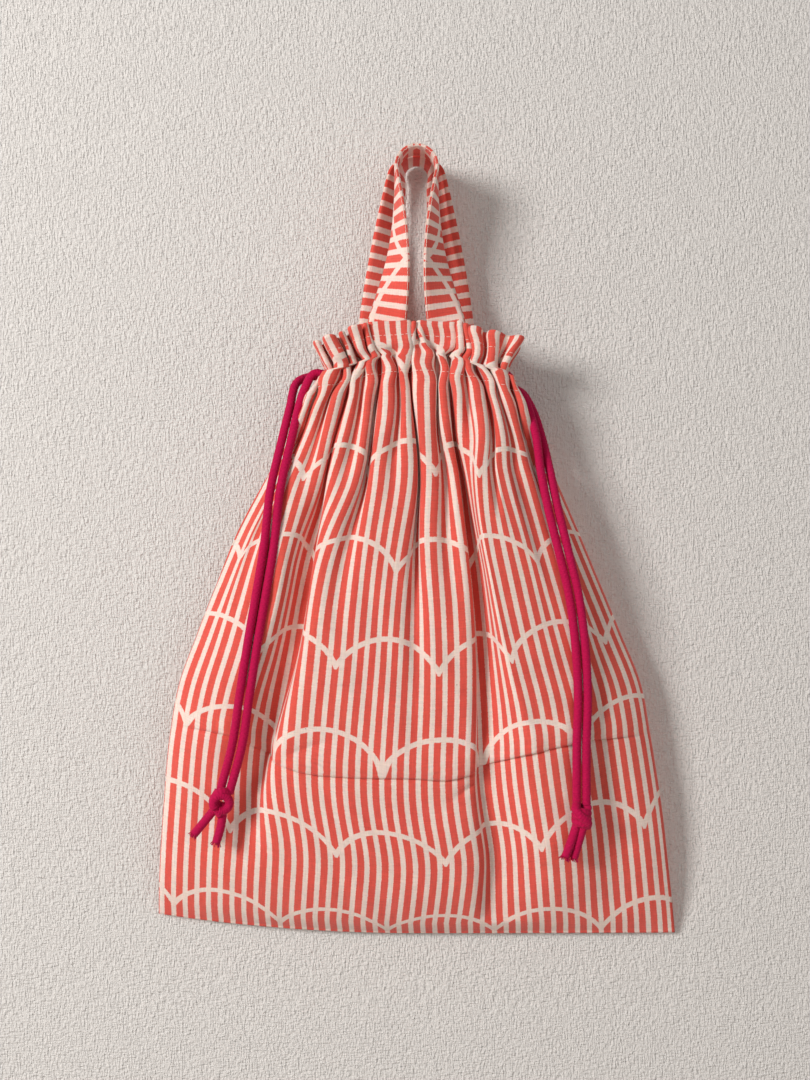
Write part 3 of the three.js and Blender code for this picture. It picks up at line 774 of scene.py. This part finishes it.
def spline(points, step):
    """A smooth line through the points, cut into even steps."""
    p = np.array(points, float)
    p = np.vstack([2 * p[0] - p[1], p, 2 * p[-1] - p[-2]])
    knots = np.concatenate([[0], np.cumsum(np.linalg.norm(np.diff(p, axis=0), axis=1) ** 0.5)])
    line = []
    for k in range(1, len(p) - 2):
        t0, t1, t2, t3 = knots[k - 1:k + 3]
        t = np.linspace(t1, t2, 40, endpoint=False)[:, None]
        a1 = (t1 - t) / (t1 - t0) * p[k - 1] + (t - t0) / (t1 - t0) * p[k]
        a2 = (t2 - t) / (t2 - t1) * p[k] + (t - t1) / (t2 - t1) * p[k + 1]
        a3 = (t3 - t) / (t3 - t2) * p[k + 1] + (t - t2) / (t3 - t2) * p[k + 2]
        b1 = (t2 - t) / (t2 - t0) * a1 + (t - t0) / (t2 - t0) * a2
        b2 = (t3 - t) / (t3 - t1) * a2 + (t - t1) / (t3 - t1) * a3
        line.append((t2 - t) / (t2 - t1) * b1 + (t - t1) / (t2 - t1) * b2)
    line = np.vstack(line + [p[-2:-1]])
    run = run_along(line)
    places = np.linspace(0, run[-1], max(3, int(run[-1] / step) + 1))
    return np.stack([np.interp(places, run, line[:, k]) for k in range(3)], axis=1)


def frames_along(line):
    """A pair of directions across the line at each point, turning as little as can be."""
    tangent = unit(np.gradient(line, axis=0))
    side = unit(np.cross(tangent[0], (0.0, 1.0, 0.2)))
    sides = []
    for t in tangent:
        side = unit(side - t * side.dot(t))
        sides.append(side)
    sides = np.array(sides)
    return sides, np.cross(tangent, sides)


def tube(line, radius, sides, braid=0.0):
    """Points, faces and uv of a round tube along a line, with the bumps of a braid."""
    across, up = frames_along(line)
    run = run_along(line)
    turn = np.linspace(0, 2 * math.pi, sides, endpoint=False)
    bumps = np.cos(BRAID_YARNS * turn)[None, :] * np.cos(2 * math.pi * run / BRAID_RUN)[:, None]
    reach = radius * (1 + braid * bumps)
    outward = np.cos(turn)[None, :, None] * across[:, None, :]
    outward = outward + np.sin(turn)[None, :, None] * up[:, None, :]
    points = line[:, None, :] + reach[..., None] * outward
    uvs = np.stack(np.broadcast_arrays((turn * radius)[None, :], run[:, None]), axis=-1)
    faces = sleeve_faces(len(run), sides)
    faces.append(tuple(range(sides))[::-1])
    faces.append(tuple((len(run) - 1) * sides + i for i in range(sides)))
    return points.reshape(-1, 3), faces, uvs.reshape(-1, 2)


def join(parts):
    """Several tubes as the points, faces and uv of one mesh."""
    points, faces, uvs = [], [], []
    start = 0
    for part_points, part_faces, part_uvs in parts:
        points.append(part_points)
        uvs.append(part_uvs)
        faces.extend(tuple(i + start for i in face) for face in part_faces)
        start += len(part_points)
    return np.vstack(points), faces, np.vstack(uvs)


# Handles

# A pair of legs is given by how far apart the seats are, how much each is pinched in at mid height, how
# late it twists and how far, in radians, it has turned at the eye.
FRONT_LEGS = (34, 4, 0.65, math.radians(90))
BACK_LEGS = (46, 0, 1.0, math.radians(60))

LEG_STEPS = 60
EYE_STEPS = 40

# Across a strap: its points, and how thick it is next to its edges, as a share of the middle.
STRAP_POINTS = 15
STRAP_EDGE_SHARE = 0.62

# The strap's print is stretched this much along it. Across it, it starts at these places of the print.
STRAP_STRETCH = 1.11
SECOND_ROW = FIRST_ROW + SCALLOP_ROWS
FRONT_PRINT = SECOND_ROW - 1.5
BACK_PRINT = SECOND_ROW + 25


def leg_point(spacing, pinch, t):
    """A place on the right leg: t is 0 at the hem's top and 1 at the eye."""
    x = spacing / 2 + (EYE_RADIUS - spacing / 2) * t - pinch * math.sin(math.pi * t)
    y = SEAT_Y + (STRAP_Y - SEAT_Y) * math.sin(math.pi / 2 * t)
    return np.array([x, y, HEM_TOP + (HANDLE_THICK / 2 - EYE_RADIUS - HEM_TOP) * t])


def handle_line(spacing, pinch, twist, top):
    """The middle of a strap from its left seat over the eye to its right seat, and its turn."""
    start = leg_point(spacing, pinch, 0) * (1, 1, 0) + (0, 0, HEM_TOP - HANDLE_SEAT)
    left = [(start, 0.0)]
    for t in np.linspace(0, 1, LEG_STEPS, endpoint=False):
        left.append((leg_point(spacing, pinch, t), top * t ** twist))
    left = [(p * (-1, 1, 1), turn) for p, turn in left]
    eye = leg_point(spacing, pinch, 1)
    arc = []
    for angle in np.linspace(0, math.pi, EYE_STEPS):
        offset = (-EYE_RADIUS * math.cos(angle), 0, EYE_RADIUS * math.sin(angle))
        arc.append((eye * (0, 1, 1) + offset, top + (math.pi - 2 * top) * angle / math.pi))
    right = [(p * (-1, 1, 1), math.pi - turn) for p, turn in left]
    line = left + arc + right[::-1]
    return np.array([p for p, _ in line]), np.array([turn for _, turn in line])


def strap_section():
    """The strap across: a flat folded band, its edges rounded, a little fuller in the middle."""
    places = np.linspace(-1, 1, STRAP_POINTS)
    fullness = STRAP_EDGE_SHARE + (1 - STRAP_EDGE_SHARE) * (1 - places ** 6)
    face = HANDLE_THICK / 2 * fullness * np.clip(1 - places ** 14, 0.0, 1) ** 0.5
    top = np.stack([places * HANDLE_WIDTH / 2, face], axis=1)
    bottom = np.stack([places[::-1] * HANDLE_WIDTH / 2, -face[::-1]], axis=1)
    return np.vstack([top, bottom[1:-1]])


def build_handle(name, side, legs, print_start, node):
    """A strap, from hem to hem over the eye. side is -1 in front."""
    line, turn = handle_line(*legs)
    tangent = unit(np.gradient(line, axis=0))
    wide = np.stack([np.cos(turn), np.sin(turn), 0 * turn], axis=1)
    wide = unit(wide - tangent * (wide * tangent).sum(axis=1)[:, None])
    out = np.cross(tangent, wide)
    section = strap_section()
    run = run_along(line)
    points = line[:, None, :] + section[None, :, :1] * wide[:, None, :]
    points = points + section[None, :, 1:] * out[:, None, :]
    points[..., 1] *= side
    along = FIRST_CUSP + SCALLOP_CHORD / 2 + (run - run[-1] / 2) / STRAP_STRETCH
    across = print_start + HANDLE_WIDTH / 2 - section[None, :, 0]
    uvs = np.stack(np.broadcast_arrays(along[:, None], across), axis=-1)
    n = len(section)
    faces = sleeve_faces(len(line), n)
    faces.append(tuple(range(n)))
    faces.append(tuple((len(line) - 1) * n + i for i in range(n))[::-1])
    if side > 0:
        faces = [face[::-1] for face in faces]
    made = make_object(name, points.reshape(-1, 3), faces, uvs.reshape(-1, 2))
    finish_piece(made, COTTON, "printed_cotton", node)
    flip = np.array([1, side, 1])
    return line * flip, wide * flip, out * flip


front_strap = build_handle("front_handle_strap", -1, FRONT_LEGS, FRONT_PRINT, "front_handle")
back_strap = build_handle("back_handle_strap", 1, BACK_LEGS, BACK_PRINT, "back_handle")


# Drawcords

# The braid's bumps bring a cord out to about its full thickness. A cord has a point every so many mm,
# and so many round it, fewer inside the hem.
CORD_RADIUS = CORD / 2 * 0.97
CORD_STEP = 0.5
CORD_ROUND = 30
HEM_CORD_STEP = 0.8
HEM_CORD_ROUND = 24
KNOT_ROUND = 26

# Strands from the channel's ends to the knots, as steps from those ends, as in the part's source.
STRANDS = {
    "left_front": [
        (-7, -1, 0), (-12.5, -3, -9.4), (-20, -6, -39.4), (-25.7, -9, -66.7), (-28.9, -11.5, -97.7),
        (-33.9, -13, -128.6), (-38.1, -14, -153.9), (-42.4, -14.3, -182.1), (-46.6, -14.3, -210.2),
        (-53.9, -13.5, -237.3)],
    "left_back": [
        (-8, -2, 0.5), (-17.5, -9, -4), (-21, -17, -19.4), (-25.6, -22.5, -40.4), (-31.2, -26.2, -66.4),
        (-34.5, -28.7, -97.4), (-39.4, -30.2, -128.4), (-43.6, -31.2, -153.4), (-47.9, -31.5, -181.4),
        (-52.1, -31.5, -209.4), (-58.9, -30.7, -235.7)],
    "right_front": [
        (8.5, -1, -6), (15.8, -4, -27), (18.8, -7.5, -49.6), (23, -10, -72.2), (29, -12, -97.5),
        (34.1, -13.5, -120), (37.6, -14.5, -148.1), (39, -15.3, -176.3), (38.2, -15.8, -204.4),
        (38.2, -15.8, -237.3)],
    "right_back": [
        (9, -2, -2.6), (15.5, -8, -13.6), (21, -15, -32.6), (24.3, -22.5, -50.1), (28.6, -26.5, -72.2),
        (34.5, -29.2, -97.6), (39.5, -30.7, -120), (43, -31.7, -148.1), (44.4, -32.5, -176.3),
        (43.6, -33, -204.4), (43.6, -33, -237.3)],
}

# Knots: how far the middle is below the strands' ends, how many of a strand's last points give its
# direction, and the cord's radius where it is drawn tight.
KNOT_DROP = 6.0
KNOT_LEAD = 12
WRAP_RADIUS = 2.45

# Yarns at a cut end: how many, how thick, the shortest and the longest, and how far inside it they start.
FRAY_YARNS = 26
FRAY_RADIUS = 0.22
FRAY_LENGTHS = (1.2, 2.6)
FRAY_START = 1.0
FRAY_TIP = 0.8

# Round threads of few sides, for yarns and stitches.
THREAD_SIDES = 6

# Wraps and tails, as steps across, out to the front and up from the middle of the knot.
LEFT_CROSSINGS = [
    [(-2.5, 0, 6.5), (1.5, 3.5, 6), (4.6, 3.2, 2), (4, 1, -2.5), (0, -1, -5)],
    [(3.5, 0, 6), (4.2, 1.2, 1), (1.5, 2.2, -4), (-1.5, 1.5, -7)],
]
LEFT_TAILS = [
    [(1.5, 0, 0), (3.5, 0.3, -6), (6.6, 1.2, -13), (10.3, 1.9, -21.2)],
    [(-1, 0, 0), (-2.2, 0, -7), (-3, 0.4, -14), (-2.8, 0.5, -22.8)],
]
RIGHT_CROSSINGS = [
    [(3, 1, 6.2), (3.4, 4, 3.6), (1, 5.4, 0.5), (-2.6, 4.2, -2.6), (-3.2, 0.5, -6)],
]
RIGHT_TAILS = [
    [(1.6, 0, 0), (3.4, 0.3, -7), (6.2, 1.0, -15), (9.3, 1.6, -23)],
    [(-1.6, 0, 0), (-0.6, 0, -7), (1.6, -0.4, -15), (4.3, -0.6, -24)],
]


def cord_height(side, x):
    """How high a cord runs in the drooping channel, the left one above the right one."""
    return CHANNEL_Z - side * CORD_OFF_CHANNEL - NECK_DROOP * (x / NECK_HALF) ** 2


def channel_end(side, y_sign):
    """Where a strand leaves the channel. y_sign is -1 in front."""
    return np.array([side * NECK_HALF, y_sign * CORD_Y, cord_height(side, NECK_HALF)])


def build_strand(name, side, y_sign, node):
    """A strand, from the end of the channel down to its knot."""
    base = channel_end(side, y_sign)
    lead = base - (side * CORD_TURN, 0, 0)
    lead[2] = cord_height(side, NECK_HALF - CORD_TURN)
    line = spline([lead, base] + [base + step for step in STRANDS[name]], CORD_STEP)
    start = np.argmin(np.linalg.norm(line - base, axis=1))
    line = line[start:]
    made = make_object(name + "_strand", *tube(line, CORD_RADIUS, CORD_ROUND, BRAID_BUMP))
    finish_piece(made, BRAID, "braided_cord", node)


def build_channel_run(name, side, node):
    """The part of a cord inside the hem: along the front, round the far side and back behind."""
    turn_x = NECK_HALF - CORD_TURN
    points = []
    for x in np.linspace(side * NECK_HALF, -side * turn_x, 9):
        points.append((x, -CORD_Y, cord_height(side, x)))
    for angle in np.linspace(0, math.pi, 7)[1:-1]:
        x = -side * (turn_x + CORD_Y * math.sin(angle))
        points.append((x, -CORD_Y * math.cos(angle), cord_height(side, x)))
    for x in np.linspace(-side * turn_x, side * NECK_HALF, 9):
        points.append((x, CORD_Y, cord_height(side, x)))
    line = spline(points, HEM_CORD_STEP)
    made = make_object(name, *tube(line, CORD_RADIUS, HEM_CORD_ROUND, BRAID_BUMP))
    finish_piece(made, BRAID, "braided_cord", node)


def knot_frame(front_name, back_name, side):
    """The middle of a knot, and its directions: down along the cords, across them, and out to the
    front."""
    ends = []
    for name, y_sign in ((front_name, -1), (back_name, 1)):
        base = channel_end(side, y_sign)
        ends.append(spline([base + step for step in STRANDS[name]], CORD_STEP)[-KNOT_LEAD:])
    middle = (ends[0][-1] + ends[1][-1]) / 2
    down = unit(ends[0][-1] - ends[0][0] + ends[1][-1] - ends[1][0])
    out = np.array([0.0, -1.0, 0.0])
    out = unit(out - down * out.dot(down))
    return middle + KNOT_DROP * down, down, np.cross(down, out), out


def frayed_end(line):
    """Yarn ends fanning out of a cut cord."""
    across, up = frames_along(line)
    tip = line[-1]
    ahead = unit(line[-1] - line[-4])
    parts = []
    for _ in range(FRAY_YARNS):
        angle = rng.uniform(0, 2 * math.pi)
        reach = CORD / 2 * math.sqrt(rng.uniform(0.05, 0.9))
        outward = math.cos(angle) * across[-1] + math.sin(angle) * up[-1]
        start = tip - ahead * FRAY_START + outward * reach * 0.9
        length = rng.uniform(*FRAY_LENGTHS)
        mid = start + ahead * length * 0.6 + outward * reach * 0.15
        end = start + ahead * (length + FRAY_TIP) + outward * reach * 0.55
        parts.append(tube(spline([start, mid, end], CORD_STEP), FRAY_RADIUS, THREAD_SIDES))
    return parts


def coil(turns, radius, height, lean, start=-0.6):
    """Points of a wrap round the cords, leaning to one side."""
    points = []
    for t in np.linspace(0, 1, int(turns * 10) + 1):
        angle = 2 * math.pi * (start + turns * t)
        across = radius * math.cos(angle)
        points.append((across, radius * math.sin(angle), height * (0.5 - t) + lean * across))
    return points


def ring(radius, start, end, out, slant):
    """Points of an open loop that faces the front."""
    angles = np.radians(np.linspace(start, end, 15))
    return [(radius * math.cos(t), out + slant * math.cos(t), radius * math.sin(t)) for t in angles]


def build_knot(name, place, wraps, tails, node):
    """An overhand knot in both strands, and its two tails."""
    middle, down, across, out = place

    def put(points):
        return spline([middle + a * across + b * out - c * down for a, b, c in points], CORD_STEP)

    parts = [tube(put(wrap), WRAP_RADIUS, KNOT_ROUND, BRAID_BUMP) for wrap in wraps]
    for tail in tails:
        line = put(tail)
        parts.append(tube(line, CORD_RADIUS, KNOT_ROUND, BRAID_BUMP))
        parts.extend(frayed_end(line))
    made = make_object(name, *join(parts))
    return finish_piece(made, BRAID, "braided_cord", node)


left_knot = build_knot(
    "left_cord_knot", knot_frame("left_front", "left_back", -1),
    [ring(4.4, -50, 275, 3.4, 1.2)] + LEFT_CROSSINGS, LEFT_TAILS, "left_knot")
right_knot = build_knot(
    "right_cord_knot", knot_frame("right_front", "right_back", 1),
    [coil(3.1, 3.3, 9.5, 0.1)] + RIGHT_CROSSINGS, RIGHT_TAILS, "right_knot")
build_strand("left_front", -1, -1, "left_drawcord")
build_strand("left_back", -1, 1, "left_drawcord")
build_strand("right_front", 1, -1, "right_drawcord")
build_strand("right_back", 1, 1, "right_drawcord")
build_channel_run("left_cord_in_hem", -1, "left_drawcord")
build_channel_run("right_cord_in_hem", 1, "right_drawcord")


# Stitching

# Stitches, in mm: how far apart they start and how long each one is, how thick the thread is, how far
# it stands off the cloth along a stitch, and how much of a row's two ends has none.
HEM_STITCH = (3.1, 2.2)
STRAP_STITCH = (2.1, 1.9)
THREAD_RADIUS = 0.14
SEAM_END = 1.0
STITCH_LIFT = (-0.15, 0.1, 0.17, 0.1, -0.15)

# A strap's stitches lie this far in from its edge and this far below its fullest face.
STRAP_STITCH_IN = 0.7
STRAP_STITCH_SUNK = 0.36


def stitch_line(points, normals, pitch, length):
    """Short threads lying on a line of points, each end dipping into the cloth."""
    run = run_along(points)

    def at(values, s):
        return np.stack([np.interp(s, run, values[:, k]) for k in range(3)], axis=1)

    parts = []
    for start in np.arange(SEAM_END, run[-1] - length - SEAM_END, pitch):
        s = start + np.linspace(0, length, len(STITCH_LIFT))
        line = at(points, s) + at(normals, s) * np.array(STITCH_LIFT)[:, None]
        parts.append(tube(line, THREAD_RADIUS, THREAD_SIDES))
    return parts


def panel_stitches(cloth, side, w):
    """A row of stitches along a panel, on its outside."""
    points, rows = cloth
    row = np.argmin(np.abs(rows - w))
    line = points[row]
    normal = unit(np.cross(np.gradient(line, axis=0), points[row + 1] - points[row - 1]))
    if (normal[:, 1] * side).mean() < 0:
        normal = -normal
    return stitch_line(line + normal * (CLOTH / 2), normal, *HEM_STITCH)


def strap_stitches(strap):
    """A row of stitches along one edge of a strap, on both its faces."""
    line, wide, out = strap
    parts = []
    for face in (-1, 1):
        rail = line + wide * (HANDLE_WIDTH / 2 - STRAP_STITCH_IN)
        rail = rail + out * face * (HANDLE_THICK / 2 - STRAP_STITCH_SUNK)
        parts.extend(stitch_line(rail[2:-2], out[2:-2] * face, *STRAP_STITCH))
    return parts


seams = []
for w in (W_LOWER_ROW, W_UPPER_ROW):
    seams.extend(panel_stitches(front_cloth, -1, w))
    seams.extend(panel_stitches(back_cloth, 1, w))
finish_piece(make_object("hem_stitching", *join(seams)), THREAD, "printed_cotton")
strap_seams = strap_stitches(front_strap) + strap_stitches(back_strap)
finish_piece(make_object("strap_stitching", *join(strap_seams)), THREAD, "printed_cotton")


# Backdrop and floor

# Sizes in mm. The backdrop leans a little, so that the pouch's bottom edge nearly touches it.
BACKDROP_Y = 24.4
BACKDROP_LEAN = 0.0174
BACKDROP_TOP = 900
FLOOR_Z = -1200
FLOOR_FRONT = -1500
STAGE_HALF = 1500
STAGE_COLOUR = "e7e1db"


def plane(name, near, far, material):
    """A wide flat piece of the stage between a lower or nearer edge and another, each given as (y, z)."""
    corners = [(-STAGE_HALF, *near), (STAGE_HALF, *near), (STAGE_HALF, *far), (-STAGE_HALF, *far)]
    made = make_object(name, corners, [(0, 1, 2, 3)])
    made.data.materials.append(material)


backdrop_foot = (BACKDROP_Y + BACKDROP_LEAN * FLOOR_Z, FLOOR_Z)
backdrop_top = (BACKDROP_Y + BACKDROP_LEAN * BACKDROP_TOP, BACKDROP_TOP)
plane("wall", backdrop_foot, backdrop_top, woven_covering("woven_wall_covering", STAGE_COLOUR))
plane("floor", (FLOOR_FRONT, FLOOR_Z), backdrop_foot, woven_covering("pale_floor", STAGE_COLOUR))


# Light and camera

# Places are in metres and powers in watts. All the lamps look at the middle of the pouch.
POUCH_MIDDLE = (0, 0, -0.25)


def softbox(name, place, size, power):
    """A square lamp that looks at the pouch."""
    lamp = bpy.data.lights.new(name, "AREA")
    lamp.shape = "SQUARE"
    lamp.size = size
    lamp.energy = power
    made = bpy.data.objects.new(name, lamp)
    made.location = place
    aim = np.array(POUCH_MIDDLE) - np.array(place)
    tilt = math.acos(-aim[2] / np.linalg.norm(aim))
    made.rotation_euler = (tilt, 0, math.atan2(aim[1], aim[0]) - math.pi / 2)
    bpy.context.scene.collection.objects.link(made)


softbox("key_softbox", (-1.6, -1.55, 0.4), 0.7, 46)
softbox("fill_softbox", (1.1, -1.9, 0.1), 1.6, 5)
softbox("back_softbox", (0.9, 1.8, 0.3), 1.6, 14)

world = bpy.data.worlds.new("studio")
bpy.context.scene.world = world
world.use_nodes = True
world.node_tree.nodes["Background"].inputs["Color"].default_value = (1, 1, 1, 1)
world.node_tree.nodes["Background"].inputs["Strength"].default_value = 0.3

lens = bpy.data.cameras.new("camera")
lens.sensor_fit = "VERTICAL"
lens.sensor_height = 36.0
lens.sensor_width = 27.0
lens.lens = 46.117
camera = bpy.data.objects.new("camera", lens)
camera.location = (-0.0066, -0.8, -0.2215)
camera.rotation_euler = (math.pi / 2, 0, 0)
bpy.context.scene.collection.objects.link(camera)
bpy.context.scene.camera = camera
bpy.context.scene.view_settings.view_transform = "Standard"
